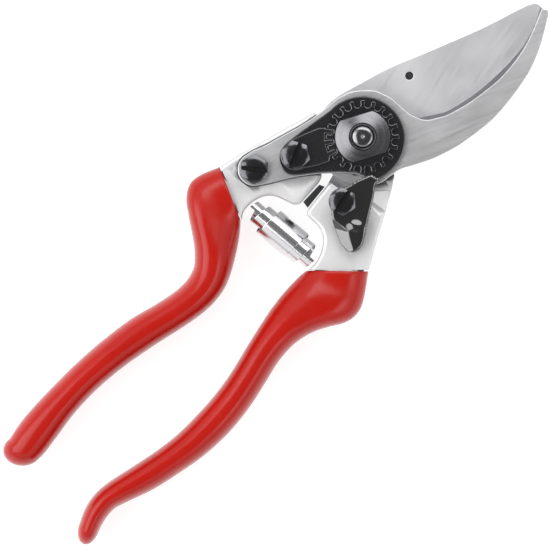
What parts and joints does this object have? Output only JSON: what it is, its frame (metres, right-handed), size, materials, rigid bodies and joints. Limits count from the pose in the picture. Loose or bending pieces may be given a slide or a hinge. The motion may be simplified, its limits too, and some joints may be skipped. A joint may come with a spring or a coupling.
{
  "type": "pruning shears",
  "caption": "Hand-held bypass pruning shears with a hooked counter blade, toothed pivot nut, thumb catch, volute spring and red dipped grips, closed and latched.",
  "frame": {"origin": "on the pivot's axis, on the flat back face of the centre bolt's head, which the shears lie on", "axes": "+Z out of the side that carries the toothed nut and the thumb catch, +Y from the handles to the tip of the blades, +X towards the handle that carries the cutting blade and the catch"},
  "size_m": [0.0633, 0.2123, 0.0236],
  "materials": {
    "blade_steel": "fine ground, satin",
    "hook_steel": "brushed",
    "black_steel": "blackened and oiled",
    "dark_plated_steel": "dark plated, turned and polished",
    "spring_steel": "bright",
    "aluminium": "forged, satin",
    "red_vinyl": "dipped vinyl, gloss",
    "black_rubber": "matt",
    "bronze": "sintered"
  },
  "bodies": {
    "right_handle": {"handle_right": "aluminium", "grip_right": "red_vinyl", "cutting_blade": "blade_steel", "blade_rivet_upper": "dark_plated_steel", "blade_rivet_lower": "dark_plated_steel", "pivot_bush": "bronze", "shock_absorber": "black_rubber", "catch_screw": "dark_plated_steel", "catch_washer": "spring_steel", "catch_nut": "dark_plated_steel", "return_spring": "spring_steel"},
    "left_handle": {"handle_left": "aluminium", "grip_left": "red_vinyl", "hook_blade": "hook_steel", "center_bolt": "dark_plated_steel", "center_washer": "spring_steel", "latch_plate": "black_steel", "adjustment_nut": "dark_plated_steel", "toothed_segment": "black_steel", "hook_screw_upper": "dark_plated_steel", "hook_screw_lower": "dark_plated_steel", "hook_nut_upper": "dark_plated_steel", "hook_nut_lower": "dark_plated_steel"},
    "thumb_catch": {"thumb_catch": "black_steel"}
  },
  "joints": [
    {"name": "shear_pivot", "type": "hinge", "parent": "right_handle", "child": "left_handle", "pos_m": [0, 0, 0], "axis": [0, 0, -1], "range_deg": [0, 35], "deforming": ["return_spring"]},
    {"name": "catch_pivot", "type": "hinge", "parent": "right_handle", "child": "thumb_catch", "pos_m": [0.0095, -0.018, 0.0168], "axis": [0, 0, -1], "range_deg": [0, 20]}
  ]
}
